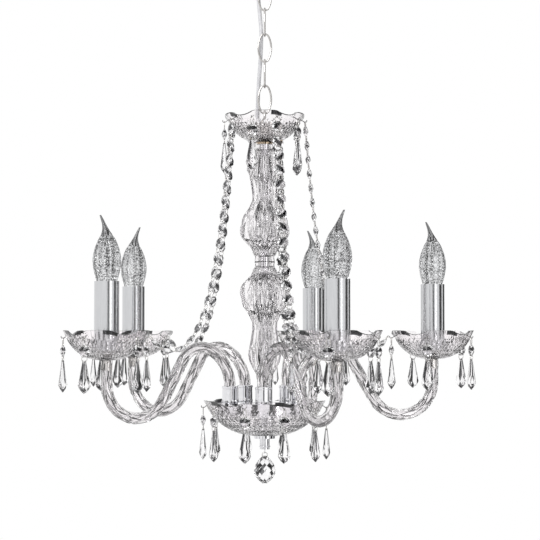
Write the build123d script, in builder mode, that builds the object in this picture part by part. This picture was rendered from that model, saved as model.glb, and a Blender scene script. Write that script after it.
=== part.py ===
from build123d import *

import os
from math import asinh, atan2, cos, cosh, degrees, pi, radians, sin, sinh, sqrt, tan

# Five-light chandelier of cut glass on a chain. The origin is at the ceiling, +Z is up,
# and the photograph's view looks along +Y. All sizes are in millimetres and degrees.

# Chain of oval wire links
link_count = 5
link_pitch = 30.4
link_wire = 2.2
link_width = 17.3
link_end_radius = 5.0
link_clearance = 0.2

# Threaded pipe used for the ceiling nipple and for the stem through the column
pipe_diameter = 10.0
pipe_bore = 6.0
pipe_clearance = 0.1

# Ceiling fitting
strap_length = 84.0
strap_width = 20.0
strap_thickness = 2.0
screw_spacing = 66.0
screw_hole = 5.0
cup_radius = 50.0
cup_depth = 25.0
cup_skirt = 4.0
cup_floor_radius = 20.0
cup_wall = 1.0
lock_nut_radius = 8.0
lock_nut_height = 5.0
socket_radius = 7.5
socket_height = 9.0
socket_cover = 3.0
loop_radius = 7.0
loop_wire = 3.0
terminal_length = 24.0
terminal_width = 13.0
terminal_height = 20.0
terminal_gap = 1.5

# Flex beside the chain, with the points of its route chosen by eye
flex_diameter = 4.6
flex_clearance = 0.2
flex_run_share = 0.45
flex_points = (
    (-9.0, 10.0, -22.0),
    (-9.0, 10.0, -62.5),
    (-4.0, 6.2, -103.5),
    (-3.7, 5.2, -126.0),
    (-6.4, 5.4, -155.0),
    (-7.8, 5.6, -182.0),
    (-8.5, 5.1, -202.0),
    (-8.2, 5.0, -219.5),
)
grip_length = 18.0
grip_flange_radius = 5.0
grip_flange_height = 2.0
grip_neck_radius = 4.0
grip_tip_wall = 0.9

# Crown loop, which takes the last link and the flex and screws onto the stem
crown_cap_radius = 15.0
crown_cap_thickness = 7.0
crown_cap_height = 20.0
crown_neck_radius = 9.0
crown_thread_cover = 4.0
flex_socket_depth = 4.0
flex_socket_clearance = 0.5

# Cut-glass bowls: what they share
glass_wall = 2.5
glass_floor = 3.5
foot_flare = 1.5
lip_slope = 65.0
lip_length = 10.0
lobe_count = 5
notch_span = 38.0
notch_depth = 4.5

# Crown dish
crown_rim_radius = 46.5
crown_depth = 33.0
crown_foot_radius = 9.0
crown_wall_angle = 65.0
crown_lobe_heading = -90.0

# Candle dishes
dish_rim_radius = 48.5
dish_depth = 33.0
dish_foot_radius = 9.5
dish_wall_angle = 65.0
dish_lobe_turn = -18.0
swing_hook = 3

# Bottom dish
bottom_rim_radius = 71.0
bottom_depth = 41.0
bottom_foot_radius = 14.0
bottom_wall_angle = 60.0
bottom_lobe_heading = -90.0
bottom_pendant_count = 10

# Column
collar_radius = 8.5
collar_flange_radius = 10.5
collar_flange_height = 0.8
collar_height = 2.0
baluster_length = 137.5
baluster_ring_radius = 11.7
baluster_ring_height = 7.0
baluster_bulge_radius = 29.7
baluster_bulge_at = 37.5
baluster_neck_radius = 14.9
baluster_neck_at = 77.0
baluster_swell_radius = 19.7
baluster_swell_at = 105.0
baluster_tip_radius = 9.5
baluster_tip_height = 5.0

# Hub
hub_neck_radius = 9.0
hub_neck_height = 27.0
hub_height = 12.0
hub_plate = 2.5
hub_skirt = 2.0
hub_margin = 1.0
hub_lid_thickness = 1.5
lid_boss_radius = 8.0
lid_boss_height = 21.3
connector_radius = 22.0
connector_height = 7.0
connector_depth = 6.0

# Arm cups and arms, with how far each arm is turned in its cup from straight outwards
lamp_count = 5
hub_heading = -20.0
arm_turns = (32.0, 25.1, 25.1, 17.9, 31.2)
cup_ring_radius = 42.0
arm_cup_radius = 9.5
arm_cup_height = 19.3
arm_cup_floor = 2.5
arm_diameter = 13.5
arm_bore = 8.4
arm_clearance = 0.2
arm_reach = 162.2
arm_rise_radius = 46.8
arm_rise_turn = 65.0
arm_crest_radius = 28.0
arm_slope = 60.0
arm_bowl_radius = 39.0
arm_candle_rise = 26.6

# Candles
nipple_diameter = 8.0
nipple_bore = 4.8
nipple_length = 15.0
nipple_clearance = 0.2
holder_boss_radius = 7.5
holder_boss_height = 4.0
holder_plate_radius = 15.2
holder_plate_thickness = 2.0
holder_radius = 11.5
holder_below_sleeve = 24.3
sleeve_radius = 14.0
sleeve_wall = 1.0
sleeve_length = 78.1
socket_bore_radius = 7.3
socket_bore_depth = 28.0

# Flame bulbs, with the heading that each bent tip points to
bulb_cap_radius = 6.8
bulb_cap_length = 24.0
bulb_neck_radius = 11.4
bulb_belly_radius = 15.8
bulb_belly_at = 22.0
bulb_shoulder_radius = 10.4
bulb_shoulder_at = 46.0
bulb_throat_radius = 4.4
bulb_throat_at = 63.0
bulb_bend_radius = 3.2
bulb_bend_at = 69.0
bulb_bend_shift = 1.8
bulb_bend_tilt = 28.0
bulb_tip_radius = 2.5
bulb_tip_at = 73.5
bulb_tip_shift = 7.0
bulb_tip_tilt = 58.0
bulb_wall = 0.9
bulb_root_depth = 25.0
bulb_tip_headings = (180.0, 180.0, 0.0, 180.0, 0.0)

# Wiring in the stem and arms
lead_diameter = 3.6
lead_clearance = 0.3
lead_bend = 6.0

# Crystals and their wire rings
hook_radius = 5.5
hook_wire = 1.0
hook_hole = 2.4
hook_gap = 0.3
hook_setback = 6.5
ring_gap = 0.2
bead_radius = 7.0
bead_table_radius = 4.2
bead_thickness = 6.4
bead_girdle = 1.0
bead_sides = 8
bead_hole = 2.0
bead_hole_margin = 2.0
bead_ring_radius = 3.4
bead_slack = 0.3
pendant_link_length = 10.0
pendant_link_width = 4.0
pendant_link_end = 1.6
drop_length = 36.0
drop_width = 14.8
drop_flatness = 0.65
drop_belly_at = 28.0
drop_top_width = 5.4
drop_tip_width = 1.2
drop_corner_in = 0.45
drop_corner_out = 0.4
garland_beads = 19
garland_hook_angle = -40.0

# Finial
finial_disc_radius = 12.2
finial_disc_height = 3.5
finial_neck_radius = 5.8
finial_neck_height = 12.5
finial_bead_radius = 6.6
finial_thread_depth = 9.0
finial_loop_radius = 2.4
ball_radius = 12.9
ball_height = 32.0
ball_sides = 10
ball_tip_radius = 2.2
ball_shoulder_radius = 9.8
ball_shoulder_at = 8.5
ball_belly_at = 16.5
ball_lower_radius = 10.0
ball_lower_at = 25.0
ball_base_radius = 3.2
ball_hole_margin = 2.2
ball_ring_radius = 3.0

os.makedirs("parts", exist_ok=True)


def save(piece, name):
    piece.label = name
    export_step(piece, f"parts/{name}.step")


def polar(radius, heading, height):
    return Vector(radius * cos(radians(heading)), radius * sin(radians(heading)), height)


# A closed oval of wire in the local XZ plane, with its lowest wire centre at the origin
def make_oval(mean_length, mean_width, end_radius, wire):
    half_length = mean_length / 2
    half_width = mean_width / 2
    rise = half_length - end_radius
    spare = half_width - end_radius
    side_offset = (rise**2 - spare**2) / (2 * spare)
    side_radius = half_width + side_offset
    side_turn = degrees(atan2(rise, side_offset))
    end_turn = 180 - 2 * side_turn
    with BuildPart() as oval:
        with BuildLine(Plane.XZ) as path:
            right_up = JernArc((half_width, half_length), (0, 1), side_radius, side_turn)
            top = JernArc(right_up @ 1, right_up % 1, end_radius, end_turn)
            left = JernArc(top @ 1, top % 1, side_radius, 2 * side_turn)
            bottom = JernArc(left @ 1, left % 1, end_radius, end_turn)
            JernArc(bottom @ 1, bottom % 1, side_radius, side_turn)
        with BuildSketch(Plane(origin=right_up @ 0, z_dir=right_up % 0)):
            Circle(wire / 2)
        sweep(path=path.wire())
    return oval.part.solid()


# Where a hook ring sits on a bowl's rim: its centre, the hole it passes through and the hole's direction,
# each as a radius from the bowl's axis and a height from its rim
def hook_place(rim_radius):
    slope = radians(lip_slope)
    along = Vector(cos(slope), sin(slope))
    outwards = Vector(sin(slope), -cos(slope))
    edge = Vector(rim_radius - glass_wall / sin(slope) / 2, 0)
    hole = edge - along * hook_setback
    offset_out = hook_radius - (glass_wall / 2 + hook_wire / 2 + hook_gap)
    half_chord = sqrt(hook_radius**2 - offset_out**2)
    centre = hole + along * half_chord + outwards * offset_out
    drill = outwards * half_chord - along * offset_out
    return centre, hole, drill


# A glass bowl round Z with its rim at height zero: scalloped rim, flared lip, drilled for its hook rings
def make_bowl(rim_radius, depth, foot_radius, wall_angle, bore, lobe_heading, hook_headings):
    slope = radians(lip_slope)
    lip_run = lip_length * cos(slope)
    lip_drop = lip_length * sin(slope)
    rim_width = glass_wall / sin(slope)
    wall_start = (-cos(radians(wall_angle)), -sin(radians(wall_angle)))
    notch_reach = rim_radius * sin(radians(notch_span / 2))
    notch_radius = (notch_reach**2 + notch_depth**2) / (2 * notch_depth)
    centre, hole, drill = hook_place(rim_radius)
    with BuildPart() as bowl:
        with BuildSketch(Plane.XZ):
            with BuildLine():
                lip = Line((rim_radius, 0), (rim_radius - lip_run, -lip_drop))
                side = TangentArc(lip @ 1, (foot_radius, -depth), tangent=wall_start)
                Polyline(side @ 1, (0, -depth), (0, 0), lip @ 0)
            make_face()
        revolve(axis=Axis.Z)
        with BuildSketch(Plane.XZ):
            with BuildLine():
                inner_rim = rim_radius - rim_width
                floor = glass_floor - depth
                lip = Line((inner_rim, 0), (inner_rim - lip_run, -lip_drop))
                side = TangentArc(lip @ 1, (foot_radius + foot_flare, floor), tangent=wall_start)
                Polyline(side @ 1, (0, floor), (0, 0), lip @ 0)
            make_face()
        revolve(axis=Axis.Z, mode=Mode.SUBTRACT)
        for lobe in range(lobe_count):
            notch_heading = lobe_heading + (lobe + 0.5) * 360 / lobe_count
            with Locations(Location((0, 0, notch_radius - notch_depth), (0, 0, notch_heading))):
                Cylinder(
                    notch_radius,
                    rim_radius + glass_wall,
                    rotation=(0, 90, 0),
                    align=(Align.CENTER, Align.CENTER, Align.MIN),
                    mode=Mode.SUBTRACT,
                )
        for heading in hook_headings:
            hole_place = polar(hole.X, heading, hole.Y)
            with Locations(Plane(origin=hole_place, z_dir=polar(drill.X, heading, drill.Y))):
                Cylinder(hook_hole / 2, 3 * glass_wall, mode=Mode.SUBTRACT)
        with Locations((0, 0, -depth)):
            Cylinder(bore / 2, 3 * glass_floor, mode=Mode.SUBTRACT)
    return bowl.part.solid()


# Heights down the stack, from the ceiling to the ball
lock_nut_top = -cup_depth
socket_top = lock_nut_top - lock_nut_height
socket_bottom = socket_top - socket_height
ceiling_pivot = socket_bottom - 2 * loop_radius
link_length = link_pitch + link_wire + link_clearance
link_pivots = [ceiling_pivot]
upper_wire = loop_wire
for _ in range(link_count):
    link_top = link_pivots[-1] + upper_wire / 2 + link_clearance + link_wire / 2
    link_pivots.append(link_top - link_length)
    upper_wire = link_wire
crown_loop_top = link_pivots[-1] + link_wire / 2 + link_clearance + loop_wire / 2
crown_cap_top = crown_loop_top - 2 * loop_radius
crown_floor = crown_cap_top - crown_cap_height
crown_bottom = crown_floor - glass_floor
crown_rim = crown_bottom + crown_depth
upper_baluster_top = crown_bottom - collar_height
baluster_joint = upper_baluster_top - baluster_length
lower_baluster_bottom = baluster_joint - baluster_length
hub_top = lower_baluster_bottom - hub_neck_height
hub_bottom = hub_top - hub_height
lid_bottom = hub_bottom - hub_lid_thickness
bottom_dish_floor = lid_bottom - lid_boss_height
bottom_dish_bottom = bottom_dish_floor - glass_floor
bottom_rim = bottom_dish_bottom + bottom_depth
stem_top = crown_cap_top - crown_thread_cover
stem_bottom = bottom_dish_bottom - finial_thread_depth
pipe_hole = pipe_diameter + 2 * pipe_clearance

# Places of the arm cups and of the candle axes round the hub
lamps = range(lamp_count)
lamp_step = 360 / lamp_count
cup_headings = [hub_heading + lamp * lamp_step for lamp in lamps]
arm_headings = [heading + turn for heading, turn in zip(cup_headings, arm_turns)]
cup_places = [polar(cup_ring_radius, heading, hub_top) for heading in cup_headings]
lamp_places = [cup + polar(arm_reach, heading, 0) for cup, heading in zip(cup_places, arm_headings)]
lamp_headings = [degrees(atan2(place.Y, place.X)) for place in lamp_places]
crown_garland_headings = [lamp * lamp_step for lamp in lamps]
crown_pendant_headings = [(lamp + 0.5) * lamp_step for lamp in lamps]
dish_hook_turns = [180 + hook * lamp_step for hook in lamps]

# Ceiling strap with its threaded nipple and two screw holes
with BuildPart() as ceiling_bracket:
    with Locations((0, 0, -strap_thickness / 2)):
        Box(strap_length, strap_width, strap_thickness)
    with GridLocations(screw_spacing, 0, 2, 1):
        Hole(screw_hole / 2)
    with Locations((0, 0, -strap_thickness)):
        nipple_end = socket_bottom + socket_cover
        Cylinder(
            pipe_diameter / 2,
            -strap_thickness - nipple_end,
            align=(Align.CENTER, Align.CENTER, Align.MAX),
        )
save(ceiling_bracket.part, "ceiling_bracket")

# Spun ceiling cup, open at the ceiling
with BuildPart() as ceiling_cup:
    with BuildSketch(Plane.XZ):
        with BuildLine():
            floor = Line((0, -cup_depth), (cup_floor_radius, -cup_depth))
            dome = TangentArc(floor @ 1, (cup_radius, -cup_skirt), tangent=(1, 0))
            Polyline(dome @ 1, (cup_radius, 0), (0, 0), floor @ 0)
        make_face()
    revolve(axis=Axis.Z)
    with BuildSketch(Plane.XZ):
        with BuildLine():
            inner_radius = cup_radius - cup_wall
            floor = Line((0, cup_wall - cup_depth), (cup_floor_radius, cup_wall - cup_depth))
            dome = TangentArc(floor @ 1, (inner_radius, -cup_skirt), tangent=(1, 0))
            Polyline(dome @ 1, (inner_radius, 0), (0, 0), floor @ 0)
        make_face()
    revolve(axis=Axis.Z, mode=Mode.SUBTRACT)
    with Locations((0, 0, -cup_depth)):
        Cylinder(pipe_hole / 2, 3 * cup_wall, mode=Mode.SUBTRACT)
    with Locations((flex_points[0][0], flex_points[0][1], -cup_depth)):
        Cylinder(grip_neck_radius + pipe_clearance, 3 * cup_wall, mode=Mode.SUBTRACT)
save(ceiling_cup.part, "ceiling_cup")

# Round lock nut that holds the cup up
with BuildPart() as lock_nut:
    with Locations((0, 0, lock_nut_top - lock_nut_height / 2)):
        Cylinder(lock_nut_radius, lock_nut_height)
        Cylinder(pipe_hole / 2, lock_nut_height, mode=Mode.SUBTRACT)
    rims = lock_nut.edges().filter_by(GeomType.CIRCLE).sort_by(SortBy.RADIUS)[-2:]
    chamfer(rims, lock_nut_height / 6)
save(lock_nut.part, "lock_nut")

# Threaded socket with the loop that the chain hangs from
with BuildPart() as ceiling_loop:
    with Locations((0, 0, socket_top - socket_height / 2)):
        Cylinder(socket_radius, socket_height)
    with Locations((0, 0, socket_bottom - loop_radius)):
        Torus(loop_radius, loop_wire / 2, rotation=(0, 90, 0))
    with Locations((0, 0, socket_bottom + socket_cover)):
        Cylinder(
            pipe_hole / 2,
            socket_height,
            align=(Align.CENTER, Align.CENTER, Align.MIN),
            mode=Mode.SUBTRACT,
        )
save(ceiling_loop.part, "ceiling_loop")

# Terminal block under the strap, where the flex ends
with BuildPart() as terminal_block:
    terminal_y = pipe_diameter / 2 + terminal_gap + terminal_width / 2
    with Locations((flex_points[0][0], terminal_y, -strap_thickness - terminal_height / 2)):
        Box(terminal_length, terminal_width, terminal_height)
save(terminal_block.part, "terminal_block")

# Tapered grip round the flex under the cup
with BuildPart() as flex_grip:
    flex_exit = Plane((flex_points[0][0], flex_points[0][1], -cup_depth))
    with BuildSketch(flex_exit):
        Circle(grip_neck_radius)
    extrude(amount=2 * cup_wall)
    with BuildSketch(flex_exit):
        Circle(grip_flange_radius)
    extrude(amount=-grip_flange_height)
    with BuildSketch(flex_exit.offset(-grip_flange_height)):
        Circle(grip_neck_radius)
    with BuildSketch(flex_exit.offset(-grip_flange_height - grip_length)):
        Circle(flex_diameter / 2 + flex_clearance + grip_tip_wall)
    loft(ruled=True)
    with Locations(flex_exit.location):
        Cylinder(flex_diameter / 2 + flex_clearance, 3 * grip_length, mode=Mode.SUBTRACT)
save(flex_grip.part, "flex_grip")

# Chain links, turned a quarter from one to the next
link = make_oval(link_length, link_width - link_wire, link_end_radius, link_wire)
for number, pivot in enumerate(link_pivots[1:], start=1):
    quarter = 0 if number % 2 else 90
    save(Location((0, 0, pivot), (0, 0, quarter)) * link, f"chain_link_{number}")

# Flex: straight runs joined by arcs as large as the runs allow
route = [Vector(point) for point in flex_points]
runs = [end - start for start, end in zip(route, route[1:])]
flex_radii = []
for before, after in zip(runs, runs[1:]):
    half_turn = radians(before.get_angle(after)) / 2
    flex_radii.append(flex_run_share * min(before.length, after.length) / tan(half_turn))
print("flex bend radii", [round(radius) for radius in flex_radii])
with BuildPart() as flex:
    with BuildLine() as flex_path:
        FilletPolyline(*route, radius=flex_radii)
    with BuildSketch(Plane(origin=route[0], z_dir=runs[0])):
        Circle(flex_diameter / 2)
    sweep(path=flex_path.wire())
flex_length = flex_path.wire().length
flex_section = pi * flex_diameter**2 / 4
print("flex length", round(flex_length, 1), "tube to plain", flex.part.volume / (flex_length * flex_section))
save(flex.part, "flex")

# Crown loop: a ring on a cap, with a blind hole for the flex and a threaded one for the stem
with BuildPart() as crown_loop:
    with Locations((0, 0, crown_cap_top)):
        Cylinder(
            crown_cap_radius,
            crown_cap_thickness,
            align=(Align.CENTER, Align.CENTER, Align.MAX),
        )
        Cylinder(
            crown_neck_radius,
            crown_cap_height,
            align=(Align.CENTER, Align.CENTER, Align.MAX),
        )
    with Locations((0, 0, crown_cap_top + loop_radius)):
        Torus(loop_radius, loop_wire / 2, rotation=(0, 90, 0))
    with Locations((flex_points[-1][0], flex_points[-1][1], crown_cap_top)):
        Cylinder(
            flex_diameter / 2 + flex_socket_clearance,
            2 * flex_socket_depth,
            mode=Mode.SUBTRACT,
        )
    with Locations((0, 0, stem_top)):
        Cylinder(
            pipe_hole / 2,
            crown_cap_height,
            align=(Align.CENTER, Align.CENTER, Align.MAX),
            mode=Mode.SUBTRACT,
        )
save(crown_loop.part, "crown_loop")

# Glass bowls
crown_bowl = make_bowl(
    crown_rim_radius,
    crown_depth,
    crown_foot_radius,
    crown_wall_angle,
    pipe_hole,
    crown_lobe_heading,
    crown_garland_headings + crown_pendant_headings,
)
save(Location((0, 0, crown_rim)) * crown_bowl, "crown_dish")
bottom_hook_headings = [hook * 360 / bottom_pendant_count for hook in range(bottom_pendant_count)]
bottom_bowl = make_bowl(
    bottom_rim_radius,
    bottom_depth,
    bottom_foot_radius,
    bottom_wall_angle,
    pipe_hole,
    bottom_lobe_heading,
    bottom_hook_headings,
)
save(Location((0, 0, bottom_rim)) * bottom_bowl, "bottom_dish")

# Gilt collar between the crown dish and the column
with BuildPart() as crown_collar:
    with Locations((0, 0, crown_bottom)):
        Cylinder(collar_radius, collar_height, align=(Align.CENTER, Align.CENTER, Align.MAX))
        Cylinder(
            collar_flange_radius,
            collar_flange_height,
            align=(Align.CENTER, Align.CENTER, Align.MAX),
        )
        Cylinder(pipe_hole / 2, 3 * collar_height, mode=Mode.SUBTRACT)
save(crown_collar.part, "crown_collar")

# Hollow stem through the column
with BuildPart() as stem_rod:
    with Locations((0, 0, stem_top)):
        Cylinder(
            pipe_diameter / 2,
            stem_top - stem_bottom,
            align=(Align.CENTER, Align.CENTER, Align.MAX),
        )
        Cylinder(
            pipe_bore / 2,
            stem_top - stem_bottom,
            align=(Align.CENTER, Align.CENTER, Align.MAX),
            mode=Mode.SUBTRACT,
        )
save(stem_rod.part, "stem_rod")

# Glass baluster with its ring end at height zero; the lower one is the same part upside down
with BuildPart() as baluster:
    with BuildSketch(Plane.XZ):
        with BuildLine():
            ring = Polyline(
                (0, 0),
                (baluster_ring_radius, 0),
                (baluster_ring_radius, baluster_ring_height),
            )
            body = Spline(
                ring @ 1,
                (baluster_bulge_radius, baluster_bulge_at),
                (baluster_neck_radius, baluster_neck_at),
                (baluster_swell_radius, baluster_swell_at),
                (baluster_tip_radius, baluster_length - baluster_tip_height),
            )
            Polyline(
                body @ 1,
                (baluster_tip_radius, baluster_length),
                (0, baluster_length),
                (0, 0),
            )
        make_face()
    revolve(axis=Axis.Z)
    Cylinder(pipe_hole / 2, 3 * baluster_length, mode=Mode.SUBTRACT)
save(Location((0, 0, baluster_joint)) * baluster.part.solid(), "upper_baluster")
save(Location((0, 0, baluster_joint), (180, 0, 0)) * baluster.part.solid(), "lower_baluster")

# Hub: a shallow round box with a neck under the column and holes for the leads
hub_radius = cup_ring_radius + arm_cup_radius + hub_margin
lead_hole_radius = lead_diameter / 2 + lead_clearance
with BuildPart() as hub:
    with Locations((0, 0, hub_top)):
        Cylinder(hub_radius, hub_height, align=(Align.CENTER, Align.CENTER, Align.MAX))
        Cylinder(hub_neck_radius, hub_neck_height, align=(Align.CENTER, Align.CENTER, Align.MIN))
    with Locations((0, 0, hub_top - hub_plate)):
        Cylinder(
            hub_radius - hub_skirt,
            hub_height,
            align=(Align.CENTER, Align.CENTER, Align.MAX),
            mode=Mode.SUBTRACT,
        )
    with Locations((0, 0, hub_top)):
        Cylinder(pipe_hole / 2, 3 * hub_neck_height, mode=Mode.SUBTRACT)
    with Locations(*cup_places):
        Cylinder(lead_hole_radius, 3 * hub_plate, mode=Mode.SUBTRACT)
save(hub.part, "hub")

# Hub lid with the boss that stands in the bottom dish
with BuildPart() as hub_lid:
    with Locations((0, 0, hub_bottom)):
        Cylinder(hub_radius, hub_lid_thickness, align=(Align.CENTER, Align.CENTER, Align.MAX))
        Cylinder(
            lid_boss_radius,
            hub_lid_thickness + lid_boss_height,
            align=(Align.CENTER, Align.CENTER, Align.MAX),
        )
        Cylinder(pipe_hole / 2, 3 * lid_boss_height, mode=Mode.SUBTRACT)
save(hub_lid.part, "hub_lid")

# Wire connector on the lid, round the stem, with a hole for each arm's leads
lead_height = hub_bottom + connector_height / 2
with BuildPart() as hub_connector:
    with Locations((0, 0, hub_bottom)):
        Cylinder(connector_radius, connector_height, align=(Align.CENTER, Align.CENTER, Align.MIN))
        Cylinder(pipe_hole / 2, 3 * connector_height, mode=Mode.SUBTRACT)
    for heading in cup_headings:
        mouth = polar(connector_radius, heading, lead_height)
        with Locations(Plane(origin=mouth, z_dir=polar(1, heading, 0))):
            Cylinder(lead_hole_radius, 2 * connector_depth, mode=Mode.SUBTRACT)
save(hub_connector.part, "hub_connector")

# Chrome cups that hold the arms
with BuildPart() as arm_cup:
    Cylinder(arm_cup_radius, arm_cup_height, align=(Align.CENTER, Align.CENTER, Align.MIN))
    with Locations((0, 0, arm_cup_floor)):
        Cylinder(
            arm_diameter / 2 + arm_clearance,
            arm_cup_height,
            align=(Align.CENTER, Align.CENTER, Align.MIN),
            mode=Mode.SUBTRACT,
        )
    Cylinder(lead_hole_radius, 3 * arm_cup_floor, mode=Mode.SUBTRACT)
save(Compound([Location(place) * arm_cup.part.solid() for place in cup_places]), "arm_cups")

# Line of an arm in its own upright plane: out of the cup, over the crest, down and round under the candle
arm_start = arm_cup_floor
arm_straight = arm_cup_height - arm_cup_floor
rise = radians(arm_rise_turn)
slope = radians(arm_slope)
arc_reach = (
    arm_rise_radius * (1 - cos(rise))
    + arm_crest_radius * (cos(rise) + sin(slope))
    + arm_bowl_radius * (1 + sin(slope))
)
arm_descent = (arm_reach - arc_reach) / cos(slope)


def draw_arm(plane):
    with BuildLine(plane) as line:
        up = Line((0, arm_start), (0, arm_start + arm_straight))
        climb = JernArc(up @ 1, up % 1, arm_rise_radius, -arm_rise_turn)
        crest = JernArc(climb @ 1, climb % 1, arm_crest_radius, arm_rise_turn - 90 - arm_slope)
        down = PolarLine(crest @ 1, arm_descent, direction=crest % 1)
        bowl = JernArc(down @ 1, down % 1, arm_bowl_radius, 90 + arm_slope)
        PolarLine(bowl @ 1, arm_candle_rise, direction=bowl % 1)
    return line.wire()


arm_lines = []
for place, heading in zip(cup_places, arm_headings):
    arm_plane = Plane(origin=place, x_dir=polar(1, heading, 0), z_dir=polar(1, heading - 90, 0))
    arm_lines.append(draw_arm(arm_plane))
dish_bottom = (arm_lines[0] @ 1).Z
dish_rim = dish_bottom + dish_depth
dish_floor = dish_bottom + glass_floor
print("arm top", round(dish_bottom, 2), "lamp headings", [round(heading, 1) for heading in lamp_headings])

for number, (line, place) in enumerate(zip(arm_lines, cup_places), start=1):
    with BuildPart() as arm:
        with BuildSketch(Plane(line @ 0)):
            Circle(arm_diameter / 2)
            Circle(arm_bore / 2, mode=Mode.SUBTRACT)
        sweep(path=line)
    save(arm.part, f"arm_{number}")

# Candle dishes, lampholders, sleeves and bulbs on the arms
dish_bowl = make_bowl(
    dish_rim_radius,
    dish_depth,
    dish_foot_radius,
    dish_wall_angle,
    nipple_diameter + 2 * nipple_clearance,
    dish_lobe_turn,
    dish_hook_turns,
)
plate_top = dish_floor + holder_boss_height + holder_plate_thickness
holder_height = sleeve_length - holder_below_sleeve
holder_top = plate_top + holder_height
lead_top = plate_top + holder_plate_thickness
with BuildPart() as lampholder:
    with Locations((0, 0, dish_floor)):
        Cylinder(
            holder_boss_radius,
            holder_boss_height,
            align=(Align.CENTER, Align.CENTER, Align.MIN),
        )
        Cylinder(nipple_diameter / 2, nipple_length, align=(Align.CENTER, Align.CENTER, Align.MAX))
    with Locations((0, 0, plate_top)):
        Cylinder(
            holder_plate_radius,
            holder_plate_thickness,
            align=(Align.CENTER, Align.CENTER, Align.MAX),
        )
        Cylinder(holder_radius, holder_height, align=(Align.CENTER, Align.CENTER, Align.MIN))
    with Locations((0, 0, holder_top)):
        Cylinder(
            socket_bore_radius,
            socket_bore_depth,
            align=(Align.CENTER, Align.CENTER, Align.MAX),
            mode=Mode.SUBTRACT,
        )
    with Locations((0, 0, lead_top)):
        Cylinder(
            nipple_bore / 2,
            2 * nipple_length,
            align=(Align.CENTER, Align.CENTER, Align.MAX),
            mode=Mode.SUBTRACT,
        )
with BuildPart() as sleeve:
    with Locations((0, 0, plate_top)):
        Cylinder(sleeve_radius, sleeve_length, align=(Align.CENTER, Align.CENTER, Align.MIN))
        Cylinder(
            sleeve_radius - sleeve_wall,
            sleeve_length,
            align=(Align.CENTER, Align.CENTER, Align.MIN),
            mode=Mode.SUBTRACT,
        )

# Flame bulb from the sleeve's top: turned hollow glass drawn out into a bent solid tip, on a metal cap
sleeve_top = plate_top + sleeve_length
with BuildPart() as bulb_glass:
    with BuildSketch(Plane.XZ):
        with BuildLine():
            outline = Spline(
                (bulb_cap_radius, -bulb_root_depth),
                (bulb_neck_radius, 0),
                (bulb_belly_radius, bulb_belly_at),
                (bulb_shoulder_radius, bulb_shoulder_at),
                (bulb_throat_radius, bulb_throat_at),
            )
            Polyline(outline @ 1, (0, bulb_throat_at), (0, -bulb_root_depth), outline @ 0)
        make_face()
    revolve(axis=Axis.Z)
    with BuildSketch(Plane.XZ):
        with BuildLine():
            outline = Spline(
                (bulb_cap_radius - bulb_wall, bulb_wall - bulb_root_depth),
                (bulb_neck_radius - bulb_wall, 0),
                (bulb_belly_radius - bulb_wall, bulb_belly_at),
                (bulb_shoulder_radius - bulb_wall, bulb_shoulder_at),
                (bulb_throat_radius - 2 * bulb_wall, bulb_throat_at - bulb_wall),
            )
            Polyline(outline @ 1, (0, (outline @ 1).Y), (0, (outline @ 0).Y), outline @ 0)
        make_face()
    revolve(axis=Axis.Z, mode=Mode.SUBTRACT)
    with BuildSketch(Plane.XY.offset(bulb_throat_at)):
        Circle(bulb_throat_radius)
    with BuildSketch(Plane((bulb_bend_shift, 0, bulb_bend_at)).rotated((0, bulb_bend_tilt, 0))):
        Circle(bulb_bend_radius)
    with BuildSketch(Plane((bulb_tip_shift, 0, bulb_tip_at)).rotated((0, bulb_tip_tilt, 0))):
        Circle(bulb_tip_radius)
    loft()
with BuildPart() as bulb_cap:
    with Locations((0, 0, -bulb_root_depth)):
        Cylinder(bulb_cap_radius, bulb_cap_length, align=(Align.CENTER, Align.CENTER, Align.MAX))
    chamfer(bulb_cap.faces().sort_by(Axis.Z)[0].edges(), bulb_wall)
bulb_pieces = [bulb_glass.part.solid(), bulb_cap.part.solid()]

holders = []
for number, (place, heading) in enumerate(zip(lamp_places, lamp_headings), start=1):
    stand = Location((place.X, place.Y, 0))
    save(Location((place.X, place.Y, dish_rim), (0, 0, heading)) * dish_bowl, f"dish_{number}")
    save(stand * sleeve.part.solid(), f"candle_sleeve_{number}")
    holders.append(stand * lampholder.part.solid())
    seat = Location((place.X, place.Y, sleeve_top), (0, 0, bulb_tip_headings[number - 1]))
    save(Compound([seat * piece for piece in bulb_pieces]), f"bulb_{number}")
save(Compound(holders), "lampholders")

# Leads through the stem and arms: from the connector out, up through each cup and along the arm
leads = []
for line, cup, heading in zip(arm_lines, cup_places, cup_headings):
    with BuildPart() as lead:
        inner_end = polar(connector_radius - connector_depth + lead_clearance, heading, lead_height)
        elbow = Vector(cup.X, cup.Y, lead_height)
        with BuildLine() as lead_path:
            FilletPolyline(inner_end, elbow, line @ 0, radius=lead_bend)
            add(line)
            Line(line @ 1, (line @ 1) + Vector(0, 0, lead_top - lead_clearance - dish_bottom))
        with BuildSketch(Plane(origin=inner_end, z_dir=elbow - inner_end)):
            Circle(lead_diameter / 2)
        sweep(path=lead_path.wire())
    leads.append(lead.part.solid())
with BuildPart() as stem_lead:
    with Locations((0, 0, hub_bottom)):
        Cylinder(
            lead_diameter / 2,
            stem_top - hub_bottom,
            align=(Align.CENTER, Align.CENTER, Align.MIN),
        )
save(Compound(leads + [stem_lead.part.solid()]), "wiring")


# Crystals: each is the hull of a few rings of points
def make_ring(radius, sides, height, turn=0.0):
    step = 360 / sides
    return [polar(radius, turn + side * step, height) for side in range(sides)]


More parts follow.
